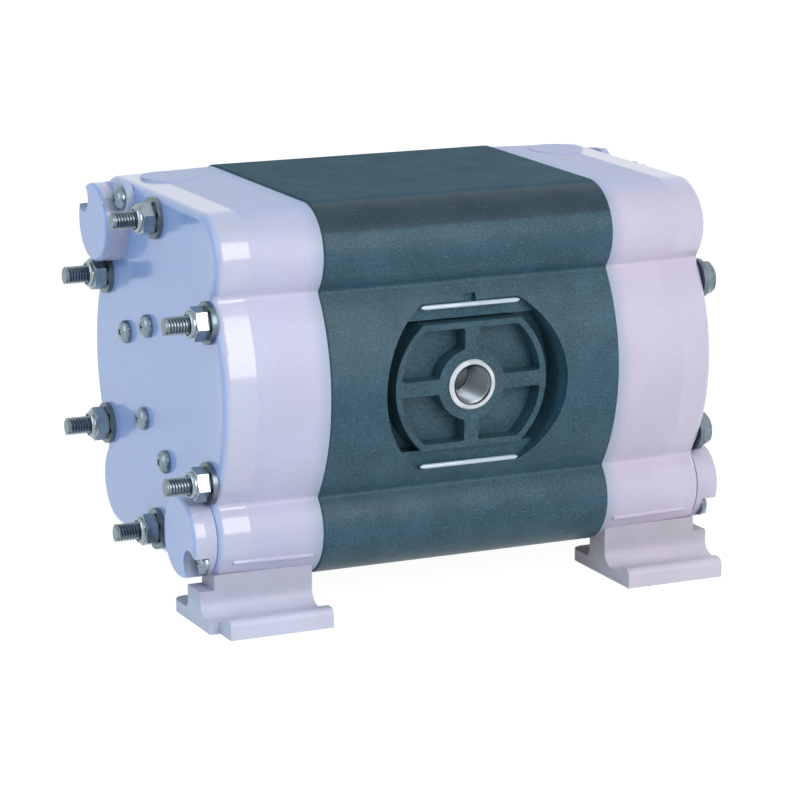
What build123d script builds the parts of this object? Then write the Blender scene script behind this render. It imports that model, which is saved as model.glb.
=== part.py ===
from build123d import *
import os
from math import cos, hypot, radians, sin, sqrt, tan

# Air operated double diaphragm pump, modelled in millimetres.
# While modelling, X runs along the pump axis (left is -X), -Y is the front, +Z is up and Z = 0 is the
# pump axis. Every part is moved as it is written, so that the origin lies on the floor under the middle
# of the pump's overall footprint.

# ---------------------------------------------------------------- driving dimensions

# Housing outline, seen along the pump axis: a round bulge, four corner lobes, flat top and bottom.
BULGE_R = 59.5
BAND_RISE = 2.0
LOBE_R = 16.0
LOBE_INSET = 22.0
CREASE_R = 1.2

# Centre body and end caps.
BODY_LENGTH = 105.2
BODY_PROUD = 0.6
BODY_EDGE = 0.6
CAP_LENGTH = 36.4
CAP_DRAFT = 1.5
CAP_EDGE_R = 2.6
RIDGE_R = 0.8
RIDGE_ANGLE = 26.0
RIDGE_INSET = 3.0

# Tie bolts, which clamp cap, body and cap together.
BOLT_COUNT = 6
BOLT_MARGIN = 6.8
BOLT_R = 3.0
BOLT_HOLE_R = 3.2
NUT_ACROSS_FLATS = 10.0
NUT_HEIGHT = 6.0
WASHER_R = 7.0
WASHER_THICKNESS = 1.6
BOLT_STUB = 8.0
BOLT_TIP_CHAMFER = 0.5
BOLT_HEAD_HEIGHT = 4.0

# Front and rear recesses, their inserts and the metal inlet bush.
RECESS_R = 33.0
RECESS_FLAT = 27.0
RECESS_BOLT_WALL = 1.6
RECESS_FLAT_WALL = 1.35
RECESS_DEPTH = 14.5
RECESS_EDGE_R = 0.9
INSERT_R = 27.5
INSERT_GAP = 0.8
INSERT_SET_BACK = 4.5
INSERT_WALL = 2.0
INSERT_FLOOR = 3.5
INSERT_RIB = 5.0
INSERT_HUB_R = 12.0
SPIGOT_R = 18.0
SPIGOT_LENGTH = 6.0
NOTCH_WIDTH = 4.5
NOTCH_DEPTH = 3.0
BUSH_R = 8.5
BUSH_PROUD = 1.0
THREAD_R = 5.72
THREAD_MOUTH_R = 6.8
GRILLE_R = 14.0
GRILLE_SLOT = 2.4
GRILLE_PITCH = 5.0
FELT_THICKNESS = 3.0

# Fluid manifolds, one through a front lobe and one through a rear lobe, and their end pieces.
PORT_OFFSET = 0.5
MANIFOLD_R = 6.0
PORT_FLANGE_THICKNESS = 2.5
PORT_BOSS_GAP = 0.3
PORT_BOSS_LENGTH = 5.5
PORT_BOSS_EDGE_R = 1.0
PORT_SPIGOT_WALL = 2.0
PORT_SPIGOT_LENGTH = 8.0
FLANGE_EAR_R = 5.4

# Small pan-head screws: (Y, Z) places on a cap's end face, and the two that hold each port flange,
# measured outwards from the port's middle. The rounding takes a share of the head's height.
SCREW_R = 1.6
SCREW_HEAD_R = 3.9
SCREW_HEAD_HEIGHT = 2.9
SCREW_HEAD_ROUNDING = 0.6
SCREW_DEPTH = 8.0
FLANGE_SCREW_DEPTH = 5.0
CAP_SCREW_PLACES = [(27.0, 9.3), (7.4, 15.0), (12.0, -17.5), (-7.6, -28.0)]
FLANGE_SCREW_OFFSETS = [(8.6, 7.1), (-14.0, 9.9)]

# Feet, with a T section that carries a saddle under the housing. The fillet in front of the web is a
# share of the web's height on a low foot.
FOOT_HEIGHT = 12.0
FOOT_INSET = 1.9
FOOT_LENGTH = 39.5
FOOT_TOE = 17.4
FOOT_WEB = 10.6
FOOT_HEEL = 14.0
FOOT_WEB_INSET = 0.5
FOOT_PLATE = 4.0
FOOT_LIP_HEIGHT = 6.5
FOOT_LIP_WIDTH = 4.5
FOOT_FILLET = 5.0
FOOT_FILLET_SHARE = 0.8
FOOT_CORNER_R = 4.5
FOOT_STEP_LENGTH = 3.5
FOOT_STEP_WIDTH = 9.0
REAR_FOOT_INSET = 7.6
FOOT_HOLE_R = 2.75
FOOT_HOLE_MARGIN = 6.0
REAR_HOLE_MARGIN = 15.0
FOOT_SCREW_R = 2.0
FOOT_SCREW_HEAD_R = 3.8
FOOT_SCREW_SPACING = 24.0
FOOT_SCREW_GRIP = 5.0
FOOT_SCREW_SINK = 0.4

# Diaphragms, clamped at the rim between body and cap, and the chambers on each side of them.
DIAPHRAGM_THICKNESS = 2.0
DIAPHRAGM_RIM = 8.5
DIAPHRAGM_ROLL_OUTER_R = 38.0
DIAPHRAGM_ROLL_INNER_R = 27.5
DIAPHRAGM_ROLL_DEPTH = 4.0
AIR_CHAMBER_GAP = 0.6
AIR_CHAMBER_FILLET = 4.0

# Shuttle: shaft, inner plates and outer plates move together by STROKE each way.
STROKE = 7.0
SHAFT_R = 5.0
SHAFT_STUD_R = 4.0
SHAFT_STUD_GRIP = 3.4
INNER_PLATE_MARGIN = 1.5
INNER_PLATE_THICKNESS = 5.6
OUTER_PLATE_R = 22.0
OUTER_PLATE_EDGE = 1.5
OUTER_PLATE_DOME = 3.9
INNER_PLATE_CLEARANCE = 1.0
OUTER_PLATE_CLEARANCE = 1.4
SHAFT_BUSH_R = 8.0
SHAFT_BUSH_LENGTH = 14.0
SHAFT_SEAL_LENGTH = 4.0

# Pilot pin, pushed to and fro by the inner plates.
PILOT_R = 3.0
PILOT_Z = -22.0
PILOT_RATIO = 0.4

# Air valve: a spool in a ported sleeve, closed by a plate at each end.
VALVE_Z = 24.0
SLEEVE_R = 8.5
SPOOL_R = 5.45
SPOOL_WAIST_R = 3.4
SPOOL_TRAVEL = 4.0
SPOOL_LAND = 6.0
SPOOL_SEAL_WIDTH = 1.6
SPOOL_SEAL_DEPTH = 1.2
END_PLATE_R = 10.0
END_PLATE_THICKNESS = 2.5
END_PLATE_VENT_R = 1.5
SLEEVE_PORT_COUNT = 3
SLEEVE_PORT_PITCH = 14.0
SLEEVE_PORT_R = 1.5
SLEEVE_GROOVE_WIDTH = 4.0
SLEEVE_GROOVE_DEPTH = 1.2
GALLERY_R = 3.0
INLET_GALLERY_Z = 18.0

# Ball check valves, which stand upright in the caps.
VALVE_INSET = 20.9
VALVE_Y = 27.0
VALVE_BORE_R = 8.0
VALVE_PASSAGE_R = 3.5
VALVE_PASSAGE_DROP = 1.0
SUCTION_SEAT_GAP = 3.0
DISCHARGE_CAGE_GAP = 2.1
SEAT_HEIGHT = 4.0
SEAT_HOLE_R = 3.2
BALL_R = 4.76
BALL_LIFT = 3.5
CAGE_WALL = 2.2
CAGE_TOP = 2.5
CAGE_SLOT = 4.0
VALVE_PLUG_R = 9.5
VALVE_PLUG_GAP = 1.0

# Seal rings have a square section of this width.
SEAL = 1.8

# Clearances.
RUNNING_CLEARANCE = 0.05
FREE_CLEARANCE = 0.3

# How far a cutting shape runs past what it cuts, and how near an edge lies to the place it is looked for.
OVERSHOOT = 1.0
NEAR = 0.01

# ---------------------------------------------------------------- places worked out from the above

BODY_END = BODY_LENGTH / 2
CAP_END = BODY_END + CAP_LENGTH
HOUSING_TOP = BULGE_R + BAND_RISE
LOBE_Y = BULGE_R - LOBE_INSET
LOBE_Z = HOUSING_TOP - LOBE_R
AXIS_HEIGHT = HOUSING_TOP + FOOT_HEIGHT
BOLT_CIRCLE_R = BULGE_R - BOLT_MARGIN
BOLT_ANGLES = [90 + 360 / BOLT_COUNT * index for index in range(BOLT_COUNT)]
BOLT_PLACES = [(BOLT_CIRCLE_R * cos(radians(a)), BOLT_CIRCLE_R * sin(radians(a))) for a in BOLT_ANGLES]
FRONT_BOLT_Y = max(y for y, z in BOLT_PLACES)
FRONT_BOLT_Z = min(abs(z) for y, z in BOLT_PLACES)

PORT_Y = LOBE_Y + PORT_OFFSET
PORT_Z = LOBE_Z
PORT_SPIGOT_R = MANIFOLD_R + PORT_SPIGOT_WALL
WATERWAY_R = MANIFOLD_R - SEAL / 2
PORT_BOSS_R = hypot(PORT_Y - FRONT_BOLT_Y, PORT_Z - FRONT_BOLT_Z) - WASHER_R - PORT_BOSS_GAP
FLANGE_SCREW_PLACES = [(PORT_Y + across, PORT_Z + up) for across, up in FLANGE_SCREW_OFFSETS]
PORT_THREAD_DEPTH = PORT_FLANGE_THICKNESS + PORT_BOSS_LENGTH
PORT_FACE = CAP_END + PORT_THREAD_DEPTH
NUT_SEAT = CAP_END + WASHER_THICKNESS
BOLT_TIP = NUT_SEAT + NUT_HEIGHT + BOLT_STUB
HEAD_TOP = NUT_SEAT + BOLT_HEAD_HEIGHT
FOOTPRINT_MIDDLE = (max(PORT_FACE, HEAD_TOP) - BOLT_TIP) / 2

INSERT_FLAT = FRONT_BOLT_Z - BOLT_HOLE_R - RECESS_FLAT_WALL - INSERT_GAP
INSERT_FACE = BULGE_R - INSERT_SET_BACK
INSERT_SEAT = BULGE_R - RECESS_DEPTH
LEDGE_SEAT = FRONT_BOLT_Y + BOLT_HOLE_R + RECESS_BOLT_WALL
SPIGOT_END = INSERT_SEAT - SPIGOT_LENGTH
POCKET_FLOOR = SPIGOT_END - FREE_CLEARANCE
BUSH_FACE = INSERT_FACE + BUSH_PROUD
BUSH_EDGE_R = BUSH_PROUD / 3
MUFFLER_R = SPIGOT_R - 2 * SEAL

DIAPHRAGM_R = DIAPHRAGM_ROLL_OUTER_R + DIAPHRAGM_RIM
AIR_CHAMBER_R = DIAPHRAGM_ROLL_OUTER_R + DIAPHRAGM_THICKNESS / 2 + AIR_CHAMBER_GAP
AIR_CHAMBER_DEPTH = DIAPHRAGM_THICKNESS / 2 + INNER_PLATE_THICKNESS + STROKE + INNER_PLATE_CLEARANCE
OUTER_PLATE_HEIGHT = OUTER_PLATE_EDGE + OUTER_PLATE_DOME
FLUID_CHAMBER_DEPTH = DIAPHRAGM_THICKNESS / 2 + OUTER_PLATE_HEIGHT + STROKE + OUTER_PLATE_CLEARANCE
INNER_PLATE_R = DIAPHRAGM_ROLL_INNER_R - INNER_PLATE_MARGIN
INNER_PLATE_EDGE_R = INNER_PLATE_THICKNESS / 5
SHAFT_STUD_LENGTH = INNER_PLATE_THICKNESS + DIAPHRAGM_THICKNESS + SHAFT_STUD_GRIP
CHAMBER_FLOOR = BODY_END - AIR_CHAMBER_DEPTH
DIAPHRAGM_AIR_FACE = BODY_END - DIAPHRAGM_THICKNESS / 2
DIAPHRAGM_FLUID_FACE = BODY_END + DIAPHRAGM_THICKNESS / 2
INNER_PLATE_FACE = DIAPHRAGM_AIR_FACE - INNER_PLATE_THICKNESS
PILOT_TIP = INNER_PLATE_FACE - STROKE + PILOT_RATIO * STROKE - FREE_CLEARANCE
PILOT_END_R = PILOT_R / 3
VALVE_END = CHAMBER_FLOOR - END_PLATE_THICKNESS
SPOOL_HALF = VALVE_END - SPOOL_TRAVEL - FREE_CLEARANCE
SLEEVE_PORT_X = [SLEEVE_PORT_PITCH * (i - (SLEEVE_PORT_COUNT - 1) / 2) for i in range(SLEEVE_PORT_COUNT)]
SLEEVE_SEAL_X = [SLEEVE_PORT_PITCH * (i - SLEEVE_PORT_COUNT / 2) for i in range(SLEEVE_PORT_COUNT + 1)]

BALL_SEAT_RISE = sqrt(BALL_R**2 - SEAT_HOLE_R**2)
BALL_CENTRE_RISE = SEAT_HEIGHT + BALL_SEAT_RISE + FREE_CLEARANCE
CAGE_HEIGHT = BALL_CENTRE_RISE - SEAT_HEIGHT + BALL_R + BALL_LIFT + FREE_CLEARANCE + CAGE_TOP
VALVE_X = BODY_END + VALVE_INSET
SUCTION_SEAT_Z = -PORT_Z + MANIFOLD_R + SUCTION_SEAT_GAP
DISCHARGE_SEAT_Z = PORT_Z - MANIFOLD_R - DISCHARGE_CAGE_GAP - CAGE_HEIGHT - SEAT_HEIGHT
VALVE_PLUG_SEAT = PORT_Z + MANIFOLD_R + VALVE_PLUG_GAP

FOOT_START = BODY_END + FOOT_INSET
FOOT_WEB_BACK = LOBE_Y + FOOT_WEB_INSET
FOOT_WEB_FRONT = FOOT_WEB_BACK + FOOT_WEB
FOOT_FRONT = FOOT_WEB_FRONT + FOOT_TOE
FOOT_BACK = FOOT_WEB_BACK - FOOT_HEEL
FOOT_SADDLE = LOBE_R - sqrt(LOBE_R**2 - (FOOT_WEB_FRONT - LOBE_Y) ** 2) + FOOT_WEB_INSET
FOOT_HOLE_X = FOOT_START + FOOT_LENGTH / 2
FOOT_HOLE_Y = FOOT_BACK + FOOT_HOLE_MARGIN
REAR_FOOT_LENGTH = BODY_LENGTH - 2 * REAR_FOOT_INSET
REAR_HOLE_X = REAR_FOOT_LENGTH / 2 - REAR_HOLE_MARGIN
FOOT_SCREW_Y = (FOOT_WEB_FRONT + FOOT_WEB_BACK) / 2
FRONT_FOOT_MIDDLE = -(FOOT_START + CAP_END) / 2
FRONT_FOOT_SCREW_X = [FRONT_FOOT_MIDDLE + side * FOOT_SCREW_SPACING / 2 for side in (-1, 1)]
REAR_FOOT_SCREW_X = [side * (REAR_FOOT_LENGTH - FOOT_SCREW_SPACING) / 2 for side in (-1, 1)]


# ---------------------------------------------------------------- helpers


def across(x):
    """Plane across the pump at X = x; sketch x is Y, sketch y is Z, and extrusions go towards +X."""
    return Plane.YZ.offset(x)


def rod_x(radius, start, end, y=0.0, z=0.0):
    """Round bar along X from start to end."""
    return extrude(across(start) * Pos(y, z) * Circle(radius), amount=end - start)


def rod_y(radius, start, end, x=0.0, z=0.0):
    """Round bar along Y from start to end."""
    return Pos(x, (start + end) / 2, z) * Rot(X=90) * Cylinder(radius, abs(end - start))


def rod_z(radius, start, end, x=0.0, y=0.0):
    """Round bar along Z from start to end."""
    return Pos(x, y, (start + end) / 2) * Cylinder(radius, abs(end - start))


def ring_x(outer, inner, start, end, y=0.0, z=0.0):
    """Plain ring about a line along X."""
    return extrude(across(start) * Pos(y, z) * (Circle(outer) - Circle(inner)), amount=end - start)


def cone_y(radius_front, radius_back, front, back):
    """Cone about the Y axis, with front nearer the viewer than back."""
    outline = Polyline((0, front), (radius_front, front), (radius_back, back), (0, back), close=True)
    return revolve(make_face(outline), axis=Axis.Y)


def mirror_x(shape):
    """The same shape on the other end of the pump."""
    return mirror(shape, about=Plane.YZ)


def both_ends(*shapes):
    """The shapes and their mirror images on the other end of the pump."""
    return list(shapes) + [mirror_x(shape) for shape in shapes]


def turn_back(shape):
    """The same shape on the other side of the pump, turned half a turn about the vertical."""
    return Rot(Z=180) * shape


def solids_of(shapes):
    """One compound of separate solids."""
    return Compound([solid for shape in shapes for solid in shape.solids()])


def write(name, shape):
    """Moves a finished part into the row frame and writes it."""
    placed = Pos(-FOOTPRINT_MIDDLE, 0, AXIS_HEIGHT) * shape
    export_step(placed, f"parts/{name}.step")


# ---------------------------------------------------------------- housing outline


def housing_outline(grow=0.0):
    """Cross-section of the housing, grown all round, with softened creases beside the bulge."""
    corners = [(y, z) for y in (-LOBE_Y, LOBE_Y) for z in (-LOBE_Z, LOBE_Z)]
    lobes = [Pos(y, z) * Circle(LOBE_R + grow) for y, z in corners]
    band = Rectangle(2 * LOBE_Y, 2 * (HOUSING_TOP + grow))
    outline = Circle(BULGE_R + grow) + band + lobes
    creases = outline.vertices().filter_by(lambda vertex: abs(vertex.X) > LOBE_Y + NEAR)
    return fillet(creases, CREASE_R)


# ---------------------------------------------------------------- centre body


def front_plane(y):
    """Plane facing the front at Y = -y; sketch x is X, sketch y is Z, and extrusions go towards -Y."""
    return Plane(origin=(0, -y, 0), x_dir=(1, 0, 0), z_dir=(0, -1, 0))


def two_flat_disc(radius, flat, back, front):
    """Disc about the Y axis with a flat cut across its top and its bottom, from Y = -back to -front."""
    outline = Circle(radius) & Rectangle(2 * radius, 2 * flat)
    return extrude(front_plane(back) * outline, amount=front - back)


def recess_cut():
    """Front recess: a ledge that clears the tie bolts, a deep ring and a pocket for the spigot."""
    beyond = BULGE_R + BODY_PROUD + OVERSHOOT
    ledge = two_flat_disc(RECESS_R, RECESS_FLAT, LEDGE_SEAT, beyond)
    deep = two_flat_disc(RECESS_R, INSERT_FLAT + INSERT_GAP, INSERT_SEAT, beyond)
    pocket = rod_y(SPIGOT_R + FREE_CLEARANCE, -POCKET_FLOOR, -INSERT_SEAT)
    return ledge + deep + pocket


def air_chamber_cut():
    """Dished air chamber in the right end of the body, with the seat for the diaphragm rim."""
    chamber = rod_x(AIR_CHAMBER_R, CHAMBER_FLOOR, BODY_END)
    floor_edge = chamber.edges().group_by(Axis.X)[0]
    chamber = fillet(floor_edge, AIR_CHAMBER_FILLET)
    return chamber + rod_x(DIAPHRAGM_R + FREE_CLEARANCE, DIAPHRAGM_AIR_FACE, BODY_END)


def centre_body(plain):
    """Dark middle housing with both air chambers, the air valve bores and the two round recesses."""
    rims = plain.edges().group_by(Axis.X)
    body = chamfer(rims[0] + rims[-1], BODY_EDGE)

    recess = recess_cut()
    body -= recess
    body = soften_recess(body)
    body -= turn_back(recess)
    notch_height = RECESS_FLAT + NOTCH_DEPTH
    notch = Box(NOTCH_WIDTH, BULGE_R - LEDGE_SEAT, notch_height)
    body -= Pos(0, -(LEDGE_SEAT + BULGE_R) / 2, notch_height / 2) * notch

    body -= both_ends(air_chamber_cut())
    body -= rod_x(SHAFT_R + 2 * RUNNING_CLEARANCE, -CHAMBER_FLOOR, CHAMBER_FLOOR)
    seal_end = CHAMBER_FLOOR - SHAFT_BUSH_LENGTH - SHAFT_SEAL_LENGTH
    body -= both_ends(rod_x(SHAFT_BUSH_R, seal_end, CHAMBER_FLOOR))
    body -= rod_x(PILOT_R + RUNNING_CLEARANCE, -CHAMBER_FLOOR, CHAMBER_FLOOR, z=PILOT_Z)
    body -= rod_x(SLEEVE_R, -CHAMBER_FLOOR, CHAMBER_FLOOR, z=VALVE_Z)
    body -= both_ends(rod_x(END_PLATE_R, VALVE_END, CHAMBER_FLOOR, z=VALVE_Z))
    body -= rod_y(GALLERY_R, -POCKET_FLOOR, -SLEEVE_R / 2, z=INLET_GALLERY_Z)
    exhaust_x = SLEEVE_PORT_PITCH
    body -= both_ends(rod_y(GALLERY_R, SLEEVE_R / 2, POCKET_FLOOR, x=exhaust_x, z=INLET_GALLERY_Z))

    body -= [rod_x(BOLT_HOLE_R, -BODY_END, BODY_END, y, z) for y, z in BOLT_PLACES]
    for side in (-1, 1):
        y, z = side * PORT_Y, side * PORT_Z
        body -= rod_x(MANIFOLD_R, -BODY_END, BODY_END, y, z)
        body -= both_ends(rod_x(MANIFOLD_R + SEAL, BODY_END - SEAL, BODY_END, y, z))
    body -= [rear_foot_screw(x, FREE_CLEARANCE) for x in REAR_FOOT_SCREW_X]
    return body


def soften_recess(body):
    """Rounds the two straight edges of the front recess where it meets the bulge."""
    lips = [
        edge
        for edge in body.edges().filter_by(Axis.X)
        if abs(abs(edge.center().Z) - RECESS_FLAT) < NEAR and edge.center().Y < -LEDGE_SEAT - NEAR
    ]
    return fillet(lips, RECESS_EDGE_R)


# ---------------------------------------------------------------- caps


def lobe_point(x, angle):
    """Point on a drafted lower front lobe of the left cap, at an angle below the horizontal."""
    radius = LOBE_R - (-BODY_END - x) * tan(radians(CAP_DRAFT))
    return Vector(x, -LOBE_Y - radius * cos(radians(angle)), -LOBE_Z - radius * sin(radians(angle)))


def cap_blank():
    """Left cap without its holes: a drafted block with a rounded outer edge and a moulding ridge."""
    block = extrude(across(-BODY_END) * housing_outline(), amount=-CAP_LENGTH, taper=CAP_DRAFT)
    block = fillet(block.edges().group_by(Axis.X)[0], CAP_EDGE_R)
    ridge_start = lobe_point(-CAP_END + RIDGE_INSET + CAP_EDGE_R, RIDGE_ANGLE)
    ridge_end = lobe_point(-BODY_END - RIDGE_INSET, RIDGE_ANGLE)
    along = ridge_end - ridge_start
    ridge = extrude(Plane(origin=ridge_start, z_dir=along) * Circle(RIDGE_R), amount=along.length)
    return block + ridge


def fluid_chamber_cut():
    """Spherical dish in the left cap's inner face."""
    rise = FLUID_CHAMBER_DEPTH - DIAPHRAGM_THICKNESS / 2
    sphere_r = (DIAPHRAGM_ROLL_OUTER_R**2 + rise**2) / (2 * rise)
    bottom = -BODY_END - FLUID_CHAMBER_DEPTH
    dish = Pos(bottom + sphere_r, 0, 0) * Sphere(sphere_r)
    return dish & rod_x(DIAPHRAGM_ROLL_OUTER_R, bottom - OVERSHOOT, -BODY_END)


def left_cap(blank):
    """Left fluid cap: dish, manifold bores, upright valve bores and screw holes."""
    cap = blank - fluid_chamber_cut()
    cap -= rod_x(DIAPHRAGM_R + FREE_CLEARANCE, -DIAPHRAGM_FLUID_FACE, -BODY_END)
    cap -= [rod_x(BOLT_HOLE_R, -CAP_END, -BODY_END, y, z) for y, z in BOLT_PLACES]
    for side in (-1, 1):
        y, z = side * PORT_Y, side * PORT_Z
        cap -= rod_x(MANIFOLD_R, -CAP_END, -BODY_END, y, z)
        cap -= rod_x(PORT_SPIGOT_R, -CAP_END, -CAP_END + PORT_SPIGOT_LENGTH + FREE_CLEARANCE, y, z)
        screws = [(side * sy, side * sz) for sy, sz in FLANGE_SCREW_PLACES]
        cap -= [rod_x(SCREW_R, -CAP_END, -CAP_END + FLANGE_SCREW_DEPTH, sy, sz) for sy, sz in screws]
    cap -= [rod_x(SCREW_R, -CAP_END, -CAP_END + SCREW_DEPTH, y, z) for y, z in CAP_SCREW_PLACES]

    suction_top = SUCTION_SEAT_Z + SEAT_HEIGHT + CAGE_HEIGHT
    cap -= rod_z(VALVE_BORE_R, -HOUSING_TOP, suction_top, -VALVE_X, -VALVE_Y)
    cap -= rod_z(VALVE_BORE_R, DISCHARGE_SEAT_Z, HOUSING_TOP, -VALVE_X, VALVE_Y)
    cap -= rod_z(VALVE_PLUG_R, -HOUSING_TOP, -VALVE_PLUG_SEAT, -VALVE_X, -VALVE_Y)
    cap -= rod_z(VALVE_PLUG_R, VALVE_PLUG_SEAT, HOUSING_TOP, -VALVE_X, VALVE_Y)
    mouth = -DIAPHRAGM_FLUID_FACE - OVERSHOOT
    suction_passage_z = suction_top - CAGE_TOP - VALVE_PASSAGE_R / 2
    discharge_passage_z = DISCHARGE_SEAT_Z - VALVE_PASSAGE_R - VALVE_PASSAGE_DROP
    cap -= rod_x(VALVE_PASSAGE_R, -VALVE_X, mouth, -VALVE_Y, suction_passage_z)
    cap -= rod_x(VALVE_PASSAGE_R, -VALVE_X - VALVE_PASSAGE_R, mouth, VALVE_Y, discharge_passage_z)
    cap -= rod_z(VALVE_PASSAGE_R, discharge_passage_z, DISCHARGE_SEAT_Z, -VALVE_X, VALVE_Y)
    cap -= [front_foot_screw(x, FREE_CLEARANCE) for x in FRONT_FOOT_SCREW_X]
    return cap


# ---------------------------------------------------------------- tie bolts, nuts and washers


def hexagon(across_flats):
    """Hexagon with flats facing the front and the back."""
    return Rot(Z=30) * RegularPolygon(across_flats / sqrt(3), 6)


def tie_bolt(y, z):
    """Hexagon bolt from the right end, long enough to stand out of its nut at the left end."""
    shank = rod_x(BOLT_R, -BOLT_TIP, NUT_SEAT, y, z)
    shank = chamfer(shank.edges().group_by(Axis.X)[0], BOLT_TIP_CHAMFER)
    head = extrude(across(NUT_SEAT) * Pos(y, z) * hexagon(NUT_ACROSS_FLATS), amount=BOLT_HEAD_HEIGHT)
    return shank + head


def tie_bolt_nut(y, z):
    """Plain hexagon nut, clear of the bolt's crests by the running clearance."""
    outline = hexagon(NUT_ACROSS_FLATS) - Circle(BOLT_R + RUNNING_CLEARANCE)
    return extrude(across(-NUT_SEAT - NUT_HEIGHT) * Pos(y, z) * outline, amount=NUT_HEIGHT)


def washer(y, z, start):
    """Flat washer whose inner face stands on a cap."""
    return ring_x(WASHER_R, BOLT_R + RUNNING_CLEARANCE, start, start + WASHER_THICKNESS, y, z)


# ---------------------------------------------------------------- front and rear inserts


def insert_disc():
    """Disc with two flats, a spigot behind it and a seal groove round the spigot."""
    disc = two_flat_disc(INSERT_R, INSERT_FLAT, INSERT_SEAT, INSERT_FACE)
    return disc + (rod_y(SPIGOT_R, -SPIGOT_END, -INSERT_SEAT) - insert_seal())


def insert_seal():
    """Square ring in the spigot's groove, touching the pocket wall."""
    front = -INSERT_SEAT + SPIGOT_LENGTH / 2 - SEAL / 2
    outer = rod_y(SPIGOT_R + FREE_CLEARANCE, front, front + SEAL)
    return outer - rod_y(SPIGOT_R - SEAL, front, front + SEAL)


def air_inlet_insert():
    """Front insert: rim, cross ribs and hub standing round four pockets, bored for the metal bush."""
    insert = insert_disc()
    pocket_r = INSERT_R - INSERT_WALL
    pocket = Circle(pocket_r) & Rectangle(2 * pocket_r, 2 * (INSERT_FLAT - INSERT_WALL))
    ribs = [Rectangle(2 * INSERT_R, INSERT_RIB), Rectangle(INSERT_RIB, 2 * INSERT_R)]
    pocket -= [Circle(INSERT_HUB_R)] + ribs
    pocket = fillet(pocket.vertices(), INSERT_WALL / 2)
    depth = INSERT_FACE - INSERT_SEAT - INSERT_FLOOR
    insert -= extrude(front_plane(INSERT_FACE - depth) * pocket, amount=depth)
    insert -= rod_y(BUSH_R, -INSERT_FACE, -SPIGOT_END)
    return insert


def air_inlet_bush():
    """Metal threaded bush in the hub, with a countersunk mouth that stands a little proud."""
    bush = rod_y(BUSH_R, -BUSH_FACE, -SPIGOT_END) - rod_y(THREAD_R, -BUSH_FACE, -SPIGOT_END)
    sink = THREAD_MOUTH_R - THREAD_R
    bush -= cone_y(THREAD_MOUTH_R, THREAD_R, -BUSH_FACE, -BUSH_FACE + sink)
    rim = bush.edges().filter_by(GeomType.CIRCLE).group_by(Axis.Y)[0].sort_by(SortBy.RADIUS)[-1]
    return fillet(rim, BUSH_EDGE_R)


def exhaust_cover():
    """Rear insert: the same disc with a louvred grille over a round muffler pocket."""
    cover = insert_disc()
    cover -= rod_y(MUFFLER_R, -INSERT_FACE + INSERT_FLOOR, -SPIGOT_END)
    count = int((GRILLE_R - GRILLE_SLOT) // GRILLE_PITCH)
    for step in range(-count, count + 1):
        height = step * GRILLE_PITCH
        slot = Pos(0, height) * SlotOverall(2 * sqrt(GRILLE_R**2 - height**2), GRILLE_SLOT)
        cover -= extrude(front_plane(INSERT_FACE) * slot, amount=-INSERT_FLOOR)
    return turn_back(cover)


def muffler_felt():
    """Felt disc in the muffler pocket, held against the back of the grille."""
    front = -INSERT_FACE + INSERT_FLOOR
    return turn_back(rod_y(MUFFLER_R, front, front + FELT_THICKNESS))


# ---------------------------------------------------------------- port end pieces


def port_piece():
    """Blank end piece for the left end's lower front lobe: screw flange, round boss and spigot."""
    flange = Pos(-PORT_Y, -PORT_Z) * Circle(PORT_BOSS_R)
    ear_y, ear_z = FLANGE_SCREW_PLACES[1]
    ear = Pos(-ear_y, -ear_z) * Circle(FLANGE_EAR_R)
    outline = make_hull((flange + ear).edges())
    foot = extrude(across(-CAP_END) * outline, amount=-PORT_FLANGE_THICKNESS)
    boss = rod_x(PORT_BOSS_R, -PORT_FACE, -CAP_END, -PORT_Y, -PORT_Z)
    boss = fillet(boss.edges().group_by(Axis.X)[0], PORT_BOSS_EDGE_R)
    clearance_r = SCREW_HEAD_R + 3 * FREE_CLEARANCE
    flange_face = -CAP_END - PORT_FLANGE_THICKNESS
    boss -= [rod_x(clearance_r, -PORT_FACE, flange_face, -y, -z) for y, z in FLANGE_SCREW_PLACES]
    spigot = rod_x(PORT_SPIGOT_R, -CAP_END, -CAP_END + PORT_SPIGOT_LENGTH, -PORT_Y, -PORT_Z)
    piece = foot + boss + spigot
    piece -= [rod_x(SCREW_R, flange_face, -CAP_END, -y, -z) for y, z in FLANGE_SCREW_PLACES]
    return piece - port_seal()


def port_thread_cut():
    """Threaded hole and waterway through a port piece of the left end's lower front lobe."""
    thread_end = -PORT_FACE + PORT_THREAD_DEPTH
    hole = rod_x(THREAD_R, -PORT_FACE, thread_end, -PORT_Y, -PORT_Z)
    waterway = rod_x(WATERWAY_R, thread_end, -CAP_END + PORT_SPIGOT_LENGTH, -PORT_Y, -PORT_Z)
    sink = THREAD_MOUTH_R - THREAD_R
    mouth = Polyline((0, 0), (THREAD_MOUTH_R, 0), (THREAD_R, sink), (0, sink), close=True)
    cone = revolve(make_face(mouth), axis=Axis.Y)
    return hole + waterway + Pos(-PORT_FACE, -PORT_Y, -PORT_Z) * Rot(Z=-90) * cone


def port_seal():
    """Square ring round the spigot of the left lower front port piece."""
    start = -CAP_END + PORT_SPIGOT_LENGTH - 2 * SEAL
    return ring_x(PORT_SPIGOT_R, PORT_SPIGOT_R - SEAL, start, start + SEAL, -PORT_Y, -PORT_Z)


def point_mirror(shape):
    """The same shape in the opposite lobe of the same end, turned half a turn about the pump axis."""
    return Rot(X=180) * shape


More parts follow.
